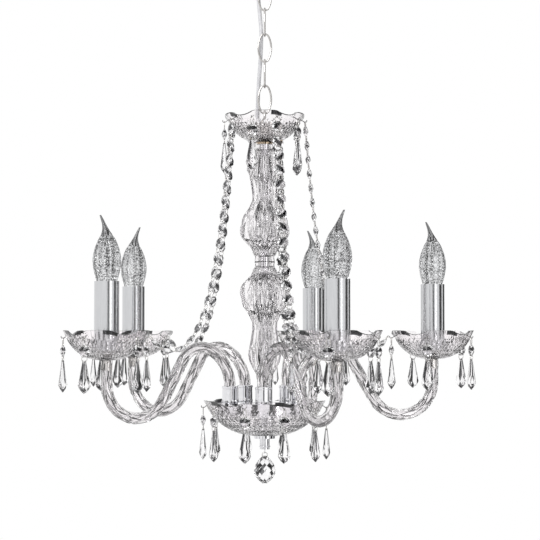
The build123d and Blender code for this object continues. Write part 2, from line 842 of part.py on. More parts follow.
with BuildPart() as bead:
    rings = []
    for side in (-1, 1):
        rings += make_ring(bead_radius, bead_sides, side * bead_girdle / 2)
        rings += make_ring(bead_table_radius, bead_sides, side * bead_thickness / 2)
    ConvexPolyhedron(rings)
    bead_hole_at = bead_radius - bead_hole_margin
    with GridLocations(2 * bead_hole_at, 0, 2, 1):
        Cylinder(bead_hole / 2, 2 * bead_thickness, mode=Mode.SUBTRACT)


# Corners of a long octagon across a drop, at one height
def drop_section(width, height):
    corners = []
    for x_side in (-1, 1):
        for y_side in (-1, 1):
            x = x_side * width / 2
            y = y_side * width / 2 * drop_flatness
            corners.append((x, y * drop_corner_out, height))
            corners.append((x * drop_corner_in, y, height))
    return corners


with BuildPart() as drop:
    top = bead_hole_margin
    sections = drop_section(drop_top_width, top)
    sections += drop_section(drop_width, top - drop_belly_at)
    sections += drop_section(drop_tip_width, top - drop_length)
    ConvexPolyhedron(sections)
    Cylinder(bead_hole / 2, 2 * drop_width, rotation=(90, 0, 0), mode=Mode.SUBTRACT)

with BuildPart() as bead_ring:
    Torus(bead_ring_radius, hook_wire / 2)
with BuildPart() as hook_ring:
    Torus(hook_radius, hook_wire / 2, rotation=(90, 0, 0))
pendant_link = make_oval(pendant_link_length, pendant_link_width, pendant_link_end, hook_wire)

# A pendant below the lowest wire of its hook ring, which is its origin, with +X outwards
wire_step = hook_wire + ring_gap
link_low = wire_step - pendant_link_length
bead_high = link_low - bead_slack
bead_middle = bead_high - bead_hole_at
bead_low = bead_middle - bead_hole_at
ring_middle = bead_low + bead_slack - bead_ring_radius
drop_hole = ring_middle - bead_ring_radius - bead_slack
pendant_pieces = [
    Location((0, 0, link_low), (0, 0, 90)) * pendant_link,
    Plane((0, 0, bead_middle), x_dir=(0, 0, 1), z_dir=(0, 1, 0)).location * bead.part.solid(),
    Plane((0, 0, ring_middle), z_dir=(1, 0, 0)).location * bead_ring.part.solid(),
    Location((0, 0, drop_hole)) * drop.part.solid(),
]
hook_piece = Location((0, 0, hook_radius)) * hook_ring.part.solid()


# The lowest wire of a hook ring on a bowl with its axis at a place and its rim at a height
def hook_location(axis, rim_radius, rim_height, heading):
    centre, hole, drill = hook_place(rim_radius)
    low = axis + polar(centre.X, heading, rim_height + centre.Y - hook_radius)
    return Location((low.X, low.Y, low.Z), (0, 0, heading))


stem_axis = Vector(0, 0, 0)
crown_pendants = []
for heading in crown_pendant_headings:
    spot = hook_location(stem_axis, crown_rim_radius, crown_rim, heading)
    crown_pendants += [spot * piece for piece in [hook_piece] + pendant_pieces]
for heading in crown_garland_headings:
    crown_pendants.append(hook_location(stem_axis, crown_rim_radius, crown_rim, heading) * hook_piece)
save(Compound(crown_pendants), "crown_pendants")

bottom_pendants = []
for heading in bottom_hook_headings:
    spot = hook_location(stem_axis, bottom_rim_radius, bottom_rim, heading)
    bottom_pendants += [spot * piece for piece in [hook_piece] + pendant_pieces]
save(Compound(bottom_pendants), "bottom_pendants")

# On each dish one outer pendant swings by itself, and the others share a node
swing_turn = dish_hook_turns[swing_hook]
dish_pendants = []
for number, (place, heading) in enumerate(zip(lamp_places, lamp_headings), start=1):
    axis = Vector(place.X, place.Y, 0)
    for turn in dish_hook_turns:
        spot = hook_location(axis, dish_rim_radius, dish_rim, heading + turn)
        dish_pendants.append(spot * hook_piece)
        hung = [spot * piece for piece in pendant_pieces]
        if turn == swing_turn:
            save(Compound(hung), f"swing_pendant_{number}")
            print("swing pendant", number, "pivot", spot.position, "heading", round(heading + turn, 3))
        else:
            dish_pendants += hung
save(Compound(dish_pendants), "dish_pendants")

# Bead garlands from the crown to the dishes, each hung as a catenary of its own length
bead_pitch = 2 * bead_hole_at + 2 * bead_ring_radius
first_hole = 2 * bead_ring_radius - wire_step
garland_length = 2 * first_hole + garland_beads * bead_pitch - 2 * bead_ring_radius


# A point at each given length along a catenary between two points in an upright plane
def catenary_points(start, end, length, stations):
    level = Vector(end.X - start.X, end.Y - start.Y, 0)
    span = level.length
    drop_height = end.Z - start.Z
    target = sqrt(length**2 - drop_height**2)
    low, high = span / 100, 100 * span
    for _ in range(100):
        scale = (low + high) / 2
        if 2 * scale * sinh(span / (2 * scale)) > target:
            low = scale
        else:
            high = scale
    lowest = span / 2 - scale * asinh(drop_height / (2 * scale * sinh(span / (2 * scale))))
    points = []
    for station in stations:
        x = lowest + scale * asinh(station / scale - sinh(lowest / scale))
        z = scale * (cosh((x - lowest) / scale) - cosh(lowest / scale))
        points.append(start + level.normalized() * x + Vector(0, 0, z))
    return points


hook_angle = radians(garland_hook_angle)
dish_centre, dish_hole, dish_drill = hook_place(dish_rim_radius)
for number, (place, heading) in enumerate(zip(lamp_places, lamp_headings), start=1):
    crown_spot = hook_location(stem_axis, crown_rim_radius, crown_rim, crown_garland_headings[number - 1])
    start = crown_spot.position
    hook_out = dish_centre.X + hook_radius * cos(hook_angle)
    hook_height = dish_rim + dish_centre.Y + hook_radius * sin(hook_angle)
    end = Vector(place.X, place.Y, 0) + polar(hook_out, heading + 180, hook_height)
    stations = [-wire_step]
    for bead_number in range(garland_beads):
        near = first_hole + bead_number * bead_pitch
        stations += [near, near + 2 * bead_hole_at]
    stations.append(garland_length + wire_step)
    holes = catenary_points(start, end, garland_length, stations)
    across = Vector(0, 0, 1).cross(end - start).normalized()
    pieces = []
    for piece_number, (near, far) in enumerate(zip(holes, holes[1:])):
        middle = (near + far) / 2
        chord = (far - near).normalized()
        if piece_number % 2:
            seat = Plane(middle, x_dir=chord, z_dir=across)
            pieces.append(seat.location * bead.part.solid())
        else:
            seat = Plane(middle, x_dir=chord, z_dir=chord.cross(across))
            pieces.append(seat.location * bead_ring.part.solid())
    save(Compound(pieces), f"garland_{number}")
    print("garland", number, "axis from", start, "to", end)

# Finial under the bottom dish: a nut in the form of a turned cap, with a small loop
finial_bottom = bottom_dish_bottom - finial_disc_height - finial_neck_height
with BuildPart() as finial_cap:
    with Locations((0, 0, bottom_dish_bottom)):
        Cylinder(
            finial_disc_radius,
            finial_disc_height,
            align=(Align.CENTER, Align.CENTER, Align.MAX),
        )
        Cylinder(
            finial_neck_radius,
            finial_disc_height + finial_neck_height,
            align=(Align.CENTER, Align.CENTER, Align.MAX),
        )
    with Locations((0, 0, finial_bottom + finial_bead_radius / 2)):
        Torus(finial_bead_radius - hook_wire, hook_wire)
    with Locations((0, 0, finial_bottom - finial_loop_radius)):
        Torus(finial_loop_radius, hook_wire / 2, rotation=(0, 90, 0))
    with Locations((0, 0, bottom_dish_bottom)):
        Cylinder(pipe_hole / 2, 2 * finial_thread_depth, mode=Mode.SUBTRACT)
save(finial_cap.part, "finial_cap")

# Faceted ball on its ring
ball_pivot = finial_bottom - 2 * finial_loop_radius
ball_hole_height = ball_pivot + wire_step - 2 * ball_ring_radius - bead_slack
with BuildPart() as ball:
    half_side = 180 / ball_sides
    points = make_ring(ball_tip_radius, ball_sides, 0)
    points += make_ring(ball_shoulder_radius, ball_sides, -ball_shoulder_at, half_side)
    points += make_ring(ball_radius, ball_sides, -ball_belly_at)
    points += make_ring(ball_lower_radius, ball_sides, -ball_lower_at, half_side)
    points += make_ring(ball_base_radius, ball_sides, -ball_height)
    ConvexPolyhedron(points)
    with Locations((0, 0, -ball_hole_margin)):
        Cylinder(bead_hole / 2, 2 * ball_radius, rotation=(0, 90, 0), mode=Mode.SUBTRACT)
with BuildPart() as ball_ring:
    Torus(ball_ring_radius, hook_wire / 2, rotation=(90, 0, 0))
ball_pieces = [
    Location((0, 0, ball_hole_height + ball_hole_margin)) * ball.part.solid(),
    Location((0, 0, ball_pivot + wire_step - ball_ring_radius)) * ball_ring.part.solid(),
]
save(Compound(ball_pieces), "finial_ball")
print("link pivots", [round(pivot, 3) for pivot in link_pivots], "ball pivot", round(ball_pivot, 3))
print("rims", round(crown_rim, 2), round(dish_rim, 2), round(bottom_rim, 2))
print("sleeve top", round(sleeve_top, 2))
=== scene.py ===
# %% [markdown]
# # A candle chandelier of cut glass
# The imported CAD model comes in first as a fixed frame of named nodes.
# Sizes are in metres, as Blender has them.

# %% Load the frame
import bpy, bmesh, random
import numpy as np
from math import atan2, cos, degrees, floor, hypot, pi, radians, sin, tan
from mathutils import Matrix, Vector


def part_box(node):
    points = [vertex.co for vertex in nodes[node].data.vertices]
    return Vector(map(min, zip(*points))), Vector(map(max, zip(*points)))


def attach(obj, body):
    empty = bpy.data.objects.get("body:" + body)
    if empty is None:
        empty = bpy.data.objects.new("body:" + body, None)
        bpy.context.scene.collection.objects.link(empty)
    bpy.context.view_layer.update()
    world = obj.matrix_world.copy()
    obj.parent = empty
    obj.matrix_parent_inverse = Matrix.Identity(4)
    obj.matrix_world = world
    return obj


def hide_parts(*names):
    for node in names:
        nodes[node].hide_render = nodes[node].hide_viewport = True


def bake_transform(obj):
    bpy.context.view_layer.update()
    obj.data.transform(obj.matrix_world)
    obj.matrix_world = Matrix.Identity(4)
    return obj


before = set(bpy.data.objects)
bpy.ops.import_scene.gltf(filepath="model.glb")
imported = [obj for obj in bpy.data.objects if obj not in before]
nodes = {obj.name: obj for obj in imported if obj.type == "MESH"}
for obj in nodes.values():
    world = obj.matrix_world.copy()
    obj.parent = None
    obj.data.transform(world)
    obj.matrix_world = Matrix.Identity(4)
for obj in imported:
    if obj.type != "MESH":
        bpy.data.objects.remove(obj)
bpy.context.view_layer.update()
mm = 0.001

# %% [markdown]
# ## The camera
# The photograph was taken from about two metres away with a long lens, level with the candle dishes.
# A shift of the lens could frame it, but other views would keep that shift. A small upward tilt puts
# the level line and the candles where the photograph has them, and leaves the other views alone.

# %% Camera
view_distance = 2.012
eye_height = -0.4635
eye_aside = 0.0062
eye_tilt = 2.13
lens = bpy.data.cameras.new("photo_camera")
lens.sensor_width = 36
lens.lens = 114.7
camera = bpy.data.objects.new("photo_camera", lens)
camera.location = (eye_aside, -view_distance, eye_height)
camera.rotation_euler = (radians(90 + eye_tilt), 0, 0)
bpy.context.scene.collection.objects.link(camera)
bpy.context.scene.camera = camera
print("camera", tuple(camera.location), "lens", lens.lens)

# %% [markdown]
# ## Writing shader maths
# Node trees are hard to read as code, so one small class wraps a socket and lets plain arithmetic
# add the Math nodes. Every other node comes from one method that takes its type, settings and inputs.

# %% Shader helper
class Shading:
    def __init__(self, tree):
        self.tree = tree

    def node(self, kind, settings=None, **inputs):
        made = self.tree.nodes.new(kind)
        for key, value in (settings or {}).items():
            if key == "stops":
                while len(made.color_ramp.elements) < len(value):
                    made.color_ramp.elements.new(0.5)
                for stop, (at, colour) in zip(made.color_ramp.elements, value):
                    stop.position = at
                    stop.color = (*colour, 1)
            else:
                setattr(made, key, value)
        for key, value in inputs.items():
            self.feed(made.inputs[key.replace("_", " ")], value)
        return Socket(self, made, made.outputs[0])

    def feed(self, socket, value):
        if isinstance(value, Socket):
            self.tree.links.new(value.socket, socket)
        else:
            socket.default_value = value


class Finish(Shading):
    def __init__(self, name):
        self.material = bpy.data.materials.new(name)
        self.material.use_nodes = True
        super().__init__(self.material.node_tree)
        self.shader = self.tree.nodes["Principled BSDF"]
        self.place = self.node("ShaderNodeTexCoord").output("Object")

    def set(self, **inputs):
        for key, value in inputs.items():
            self.feed(self.shader.inputs[key.replace("_", " ")], value)

    def bump(self, height, strength, distance):
        made = self.node("ShaderNodeBump", None, Height=height, Strength=strength, Distance=distance)
        self.set(Normal=made)


class Socket:
    def __init__(self, shading, node, socket):
        self.shading = shading
        self.owner = node
        self.socket = socket

    def output(self, name):
        return Socket(self.shading, self.owner, self.owner.outputs[name])

    def math(self, operation, first, second):
        made = self.shading.node("ShaderNodeMath", {"operation": operation})
        self.shading.feed(made.owner.inputs[0], first)
        self.shading.feed(made.owner.inputs[1], second)
        return made

    def __add__(self, other):
        return self.math("ADD", self, other)

    def __radd__(self, other):
        return self.math("ADD", other, self)

    def __mul__(self, other):
        return self.math("MULTIPLY", self, other)

    def __rmul__(self, other):
        return self.math("MULTIPLY", other, self)


print("shader helper ready")

# %% [markdown]
# ## Glass, crystal and plate
# Clear glass is nearly all refraction, so its finish is a faint lilac-grey tint and a surface that is
# not quite even: pressed glass has a slow waviness and a few dull smears. A face attribute named shade
# paints shade into the glass colour, on facets and cuts that turn light away and on dark reflections.
# Plate shows its surroundings, so a fine noise in its roughness is what keeps it from looking like a mirror
# on a screen.

# %% Kinds of finish
shade_black = (0.008, 0.008, 0.01)


def glass_finish(name, tint, index, wave, smear):
    finish = Finish(name)
    slow = finish.node("ShaderNodeTexNoise", None, Vector=finish.place, Scale=wave, Detail=2.0)
    smears = finish.node("ShaderNodeTexNoise", None, Vector=finish.place, Scale=60.0, Detail=4.0)
    # Painted shade: the shade attribute darkens the glass colour towards black.
    shade = finish.node("ShaderNodeAttribute", {"attribute_name": "shade"}).output("Fac")
    stops = [(0.0, tint), (1.0, shade_black)]
    colour = finish.node("ShaderNodeValToRGB", {"stops": stops}, Fac=shade)
    finish.set(Base_Color=colour.output("Color"), IOR=index, Transmission_Weight=1.0)
    finish.set(Roughness=smears.output("Fac") * smear)
    finish.bump(slow.output("Fac"), strength=0.15, distance=1 * mm)
    return finish.material


def metal_finish(name, tint, dark, roughness, spread, grain, bump):
    finish = Finish(name)
    scale = finish.node("ShaderNodeMapping", None, Vector=finish.place, Scale=grain)
    noise = finish.node("ShaderNodeTexNoise", None, Vector=scale, Scale=1.0, Detail=5.0)
    fine = noise.output("Fac")
    colour = finish.node("ShaderNodeValToRGB", {"stops": [(0.3, dark), (0.7, tint)]}, Fac=fine)
    finish.set(Base_Color=colour.output("Color"), Metallic=1.0)
    finish.set(Roughness=fine * spread + (roughness - spread / 2))
    finish.bump(fine, strength=bump, distance=0.2 * mm)
    return finish.material


def plastic_finish(name, tint, dark, roughness):
    finish = Finish(name)
    noise = finish.node("ShaderNodeTexNoise", None, Vector=finish.place, Scale=180.0, Detail=4.0)
    fine = noise.output("Fac")
    colour = finish.node("ShaderNodeValToRGB", {"stops": [(0.35, dark), (0.65, tint)]}, Fac=fine)
    finish.set(Base_Color=colour.output("Color"), Roughness=fine * 0.15 + roughness)
    finish.bump(fine, strength=0.1, distance=0.2 * mm)
    return finish.material


print("kinds of finish ready")

# %% [markdown]
# The finishes of this chandelier differ only in a few numbers. Grain is the noise's scale along x, y and z:
# the satin sleeves have a long vertical grain, as brushed metal does, and the other plate has an even one.

# %% Finishes
cut_glass = glass_finish("cut_glass", tint=(0.99, 0.97, 0.98), index=1.46, wave=45.0, smear=0.04)
arm_glass = glass_finish("arm_glass", tint=(0.995, 0.985, 0.988), index=1.46, wave=45.0, smear=0.03)
crystal = glass_finish("crystal", tint=(0.985, 0.98, 0.985), index=1.44, wave=90.0, smear=0.01)
bulb_glass = glass_finish("bulb_glass", tint=(0.86, 0.865, 0.875), index=1.46, wave=120.0, smear=0.05)
chrome = metal_finish(
    "chrome_plate", tint=(0.82, 0.82, 0.84), dark=(0.74, 0.74, 0.76), roughness=0.05, spread=0.04,
    grain=(240, 240, 240), bump=0.02,
)
satin = metal_finish(
    "satin_plate", tint=(0.64, 0.645, 0.66), dark=(0.60, 0.605, 0.62), roughness=0.2, spread=0.05,
    grain=(900, 900, 60), bump=0.01,
)
link_plate = metal_finish(
    "link_plate", tint=(0.60, 0.585, 0.57), dark=(0.50, 0.485, 0.47), roughness=0.12, spread=0.06,
    grain=(240, 240, 240), bump=0.02,
)
gilt = metal_finish(
    "gilt_plate", tint=(0.56, 0.46, 0.35), dark=(0.42, 0.33, 0.24), roughness=0.16, spread=0.1,
    grain=(260, 260, 260), bump=0.05,
)
wire_plate = metal_finish(
    "wire_plate", tint=(0.80, 0.79, 0.78), dark=(0.62, 0.60, 0.57), roughness=0.12, spread=0.08,
    grain=(500, 500, 500), bump=0.04,
)
# The pin plate is the wire plate painted darker: a painted reflection of the dark that the pins show.
pin_plate_painted_dark = metal_finish(
    "pin_plate_painted_dark", tint=(0.30, 0.29, 0.29), dark=(0.20, 0.19, 0.19), roughness=0.16, spread=0.08,
    grain=(500, 500, 500), bump=0.04,
)
white_plastic = plastic_finish(
    "white_plastic", tint=(0.86, 0.86, 0.84), dark=(0.78, 0.78, 0.76), roughness=0.3
)
flex_sheath = plastic_finish(
    "flex_sheath", tint=(0.66, 0.66, 0.68), dark=(0.54, 0.54, 0.56), roughness=0.28
)
clear_sheath = glass_finish("clear_sheath", tint=(0.95, 0.94, 0.95), index=1.42, wave=60.0, smear=0.3)
print("finishes", len(bpy.data.materials))

# %% [markdown]
# ## Keeping the solids that are right
# Links, loops, bosses and the ceiling fitting already have their true shape in the CAD. Modelling them
# again would add nothing, so they stay and only get their finish.

# %% Finishes on CAD nodes
lamps = range(1, 6)
kept = {
    chrome: ["ceiling_bracket", "ceiling_cup", "lock_nut", "stem_rod", "hub", "hub_lid", "finial_cap"],
    link_plate: ["ceiling_loop", "crown_loop"] + [f"chain_link_{number}" for number in range(1, 6)],
    satin: [f"candle_sleeve_{number}" for number in lamps],
    gilt: ["crown_collar"],
    white_plastic: ["terminal_block", "hub_connector", "flex_grip"],
    clear_sheath: ["wiring"],
}
for finish, names in kept.items():
    for name in names:
        nodes[name].data.materials.clear()
        nodes[name].data.materials.append(finish)
print("finished CAD nodes", sum(len(names) for names in kept.values()))

# %% [markdown]
# ## Making a piece
# Each new piece is modelled in a bmesh and then handed over in the same way: its mesh holds its place,
# its object stays at the origin, it rides on a body, and the solids it stands for are hidden.

# %% Piece helpers
def mesh_of(name, shape):
    mesh = bpy.data.meshes.new(name)
    shape.to_mesh(mesh)
    shape.free()
    return mesh


def add_piece(name, mesh, finishes):
    for finish in finishes:
        mesh.materials.append(finish)
    piece = bpy.data.objects.new(name, mesh)
    bpy.context.scene.collection.objects.link(piece)
    return piece


def hand_over(name, shape, body, finishes, stands_for):
    piece = add_piece(name, mesh_of(name, shape), finishes)
    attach(piece, body)
    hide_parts(stands_for)


def join_part(shape, part, finish_index=0):
    for face in part.faces:
        face.material_index = finish_index
    spare = mesh_of("spare", part)
    shape.from_mesh(spare)
    bpy.data.meshes.remove(spare)


print("piece helpers ready")

# %% [markdown]
# ## Turning
# Most of the real pieces were turned or blown, so most shapes here start as an outline of radius and
# height that is spun round the z axis. Where an outline has to be smooth, a Bezier curve with automatic
# handles runs through a few measured points.

# %% Turning helpers
def in_metres(outline):
    return [(radius * mm, height * mm) for radius, height in outline]


def lathe(outline, steps, closed=False):
    shape = bmesh.new()
    points = [shape.verts.new((radius, 0, height)) for radius, height in outline]
    edges = [shape.edges.new(pair) for pair in zip(points, points[1:])]
    if closed:
        edges.append(shape.edges.new((points[-1], points[0])))
    bmesh.ops.spin(
        shape, geom=points + edges, cent=(0, 0, 0), axis=(0, 0, 1), angle=2 * pi, steps=steps, use_merge=True
    )
    bmesh.ops.remove_doubles(shape, verts=shape.verts, dist=1e-6)
    bmesh.ops.recalc_face_normals(shape, faces=shape.faces)
    return shape


def smooth_outline(points, per_span):
    line = bpy.data.curves.new("outline", "CURVE")
    line.dimensions = "3D"
    line.resolution_u = per_span
    spline = line.splines.new("BEZIER")
    spline.bezier_points.add(len(points) - 1)
    for knot, (radius, height) in zip(spline.bezier_points, points):
        knot.co = (radius, 0, height)
        knot.handle_left_type = "AUTO"
        knot.handle_right_type = "AUTO"
    holder = bpy.data.objects.new("outline", line)
    mesh = bpy.data.meshes.new_from_object(holder)
    found = [(vertex.co.x, vertex.co.z) for vertex in mesh.vertices]
    bpy.data.objects.remove(holder)
    bpy.data.meshes.remove(mesh)
    return found


def polar(radius, heading, height=0.0):
    return Vector((radius * cos(radians(heading)), radius * sin(radians(heading)), height))


print("turning helpers ready")

# %% [markdown]
# ## The flex beside the chain
# The flex leaves its grip in the ceiling cup, hangs behind the chain and goes into the crown cap.
# The one flex is made as six stretches of one smooth line. They meet in the middle of the legs of its
# control points, where such a line always runs straight along the leg, so no seam shows.

# %% Flex
flex_diameter = 4.6 * mm
flex_route = [
    (-9.0, 10.0, -22.0), (-9.0, 10.0, -51.0), (-6.2, 8.2, -81.2), (-3.6, 5.9, -112.0),
    (-5.1, 5.3, -142.8), (-7.5, 5.5, -173.5), (-8.6, 5.1, -204.2), (-8.2, 5.0, -219.5),
]
route = [Vector(point) * mm for point in flex_route]
chain_bodies = ["ceiling", "link_1", "link_2", "link_3", "link_4", "link_5", "chandelier"]


def flex_line(points, thickness):
    line = bpy.data.curves.new("flex_line", "CURVE")
    line.dimensions = "3D"
    line.resolution_u = 10
    line.bevel_depth = thickness / 2
    line.bevel_resolution = 4
    line.use_fill_caps = thickness > 0
    spline = line.splines.new("NURBS")
    spline.points.add(len(points) - 1)
    for knot, point in zip(spline.points, points):
        knot.co = (*point, 1)
    spline.order_u = 3
    spline.use_endpoint_u = True
    holder = bpy.data.objects.new("flex_line", line)
    mesh = bpy.data.meshes.new_from_object(holder)
    bpy.data.objects.remove(holder)
    return mesh


start = route[0]
flex_lengths = []
for number, corner in enumerate(route[1:-1], start=1):
    last = number == len(route) - 2
    end = route[-1] if last else (corner + route[number + 1]) / 2
    path = [vertex.co.copy() for vertex in flex_line([start, corner, end], 0).vertices]
    tube = flex_line([start, corner, end], flex_diameter)
    for face in tube.polygons:
        face.use_smooth = True
    piece = add_piece(f"flex_{number}", tube, [flex_sheath])
    chain_bodies[number - 1]
    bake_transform(piece)
    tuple(start)
    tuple(end)
    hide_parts("flex")
    length = sum((b - a).length for a, b in zip(path, path[1:]))
    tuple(start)
    flex_lengths.append(length)
    start = end
print("flex length", round(sum(flex_lengths), 4), [round(length, 4) for length in flex_lengths])

# %% [markdown]
# ## The diamond cut
# Pressed dishes and bulbs carry a lattice of small diamonds. A bump map could draw it, but glass shows
# its shape by refraction, so the cut is real: on the grid of a turned wall, every other corner is raised
# along its normal, the others are lowered, and each face is split along its hollow. One facet of each
# diamond can get painted shade, as one side of a real cut always turns the light away.

# %% Diamond cut
def cut_diamonds(shape, outline, steps, cut, painted_facet_shade):
    row_of = {round(height, 6): (row, radius) for row, (radius, height) in enumerate(outline)}
    peaks, hollows = set(), set()
    for vertex in shape.verts:
        row, radius = row_of.get(round(vertex.co.z, 6), (0, 0))
        on_wall = abs(hypot(vertex.co.x, vertex.co.y) - radius) < 0.2 * mm
        if 0 < row < len(outline) - 1 and on_wall:
            step = round(atan2(vertex.co.y, vertex.co.x) / (2 * pi) * steps)
            (hollows if (row + step) % 2 else peaks).add(vertex)
    for face in shape.faces[:]:
        low = [vertex for vertex in face.verts if vertex in hollows]
        if len(low) == 2 and len(face.verts) == 4:
            bmesh.utils.face_split(face, low[0], low[1])
    moves = [(vertex, vertex.normal * cut) for vertex in peaks]
    moves += [(vertex, vertex.normal * -cut) for vertex in hollows]
    for vertex, move in moves:
        vertex.co += move
    shade = shape.faces.layers.float.new("shade")
    # Painted shade on the facet of each diamond that lies below its peak and to one side.
    for peak in peaks:
        for face in peak.link_faces:
            away = face.calc_center_median() - peak.co
            if away.z < 0 and peak.co.x * away.y - peak.co.y * away.x > 0:
                face[shade] = painted_facet_shade
    return shade


print("diamond cut ready")

# %% [markdown]
# ## Scalloped dishes
# The crown, the candle dishes and the bottom dish are pressed bowls with five lobes. One turned outline
# gives the bowl: a plain lip with a straight slope, then a wall that curves in to the foot as one arc.
# The outside below the lip is cut into diamonds. Spinning gives a level rim, so the rim is lowered
# between the lobes afterwards, and a stroke of painted shade inside each lobe stands for the lip's own edge
# seen through it.

# %% Bowl
lip_slope = 65.0
lip_length = 10 * mm
glass_wall = 2.5 * mm
glass_floor = 3.5 * mm
foot_flare = 1.5 * mm
inner_rows = 5
bowl_steps = 90
lobe_step = 72
notch_depth = 4.5 * mm
notch_half = 19.0
# hatch_shade and stroke_shade are painted shade: on one facet of each diamond, and as a dark stroke on each
# lobe's lip.
hatch_shade = 0.28
stroke_shade = 0.98
stroke_from = 8
stroke_to = 27


def wall_arc(start, end, angle, count):
    heading = Vector((-cos(radians(angle)), -sin(radians(angle))))
    chord = Vector(end) - Vector(start)
    turn = 2 * heading.angle_signed(chord)
    radius = chord.length / (2 * sin(turn / 2))
    points = []
    for step in range(1, count + 1):
        part = turn * step / count
        along = heading * (radius * sin(part))
        aside = Vector((heading.y, -heading.x)) * (radius * (1 - cos(part)))
        points.append(tuple(Vector(start) + along + aside))
    return points


def bowl(name, centre, turn, lobe_heading, rim_radius, depth, foot, angle, bore, rows, cut):
    slope = radians(lip_slope)
    run, drop = lip_length * cos(slope), lip_length * sin(slope)
    width = glass_wall / sin(slope)
    outer_lip = (rim_radius - run, -drop)
    inner_lip = (rim_radius - width - run, -drop)
    outer = wall_arc(outer_lip, (foot, -depth), angle, rows)
    inner = wall_arc(inner_lip, (foot + foot_flare, glass_floor - depth), angle, inner_rows)
    middle = (rim_radius - run / 2, -drop / 2)
    outline = [(bore, -depth)] + outer[::-1] + [outer_lip, middle, (rim_radius, 0)]
    outline += [(rim_radius - width, 0), (middle[0] - width, middle[1]), inner_lip] + inner
    outline += [(bore, glass_floor - depth)]
    shape = lathe(outline, bowl_steps, closed=True)
    shade = cut_diamonds(shape, [outer_lip] + outer, bowl_steps, cut, hatch_shade)
    # Painted shade: a dark stroke on the lip of each lobe.
    for face in shape.faces:
        spot = face.calc_center_median()
        around = (degrees(atan2(spot.y, spot.x)) - lobe_heading) % lobe_step
        on_lip = spot.z > middle[1] and spot.xy.length < rim_radius - width / 4
        if on_lip and stroke_from < around < stroke_to:
            face[shade] = stroke_shade
    for vertex in shape.verts:
        lift = (vertex.co.z + drop) / drop
        if lift > 0:
            around = (degrees(atan2(vertex.co.y, vertex.co.x)) - lobe_heading) % lobe_step - lobe_step / 2
            vertex.co.z -= notch_depth * max(0.0, 1 - (around / notch_half) ** 2) * lift
    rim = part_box(name)[0][2] + depth
    where = Matrix.Translation((centre.x, centre.y, rim)) @ Matrix.Rotation(radians(turn), 4, "Z")
    bmesh.ops.transform(shape, matrix=where, verts=shape.verts)
    hand_over(f"{name}_glass", shape, "chandelier", [cut_glass], name)


print("bowl ready")

# %% [markdown]
# The five arms leave a ring of cups on the hub, each turned a little from the cup's own heading, so the
# places of the lamps follow from the cups, the turns and the arms' reach. The dishes stand there.

# %% Setting the dishes
cup_ring = 42 * mm
cup_seat = 12 * mm
arm_reach = 162.2 * mm
arm_turns = (32.0, 25.1, 25.1, 17.9, 31.2)
first_cup = -20
cup_step = 72
cup_headings = [first_cup + cup_step * (number - 1) for number in lamps]
arm_headings = [heading + turn for heading, turn in zip(cup_headings, arm_turns)]
hub_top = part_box("hub_lid")[1][2] + cup_seat
cup_places = [polar(cup_ring, heading, hub_top) for heading in cup_headings]
lamp_places = [cup + polar(arm_reach, heading) for cup, heading in zip(cup_places, arm_headings)]
lamp_headings = [degrees(atan2(place.y, place.x)) for place in lamp_places]
stem_axis = Vector((0, 0, 0))
rod_bore = 5.1 * mm
bowl(
    "crown_dish", stem_axis, turn=0, lobe_heading=-90, rim_radius=46.5 * mm, depth=33 * mm, foot=9 * mm,
    angle=65, bore=rod_bore, rows=11, cut=0.22 * mm,
)
bowl(
    "bottom_dish", stem_axis, turn=0, lobe_heading=-90, rim_radius=71 * mm, depth=41 * mm, foot=14 * mm,
    angle=60, bore=rod_bore, rows=15, cut=0.25 * mm,
)
for number, place, heading in zip(lamps, lamp_places, lamp_headings):
    bowl(
        f"dish_{number}", place, turn=heading, lobe_heading=-18, rim_radius=48.5 * mm, depth=33 * mm,
        foot=9.5 * mm, angle=65, bore=4.2 * mm, rows=11, cut=0.22 * mm,
    )
print("lamp places", [tuple(round(c, 4) for c in place) for place in lamp_places])

# %% [markdown]
# ## Balusters
# The column is one turned glass baluster, used twice. It is turned from a measured outline and then cut:
# two sets of slow flutes that lean opposite ways cross into long leaves, and fade out at the plain rings.
# Carving each leaf with a Boolean would be slow, while a formula on the turned points gives them all.
# Thin lines of painted shade run along both sets of flutes.

# %% Balusters
ribs = 20
steps_per_rib = 10
leaf_lean = 0.055
leaf_cut = 0.13
leaf_low = 8
leaf_high = 130
leaf_fade = 8
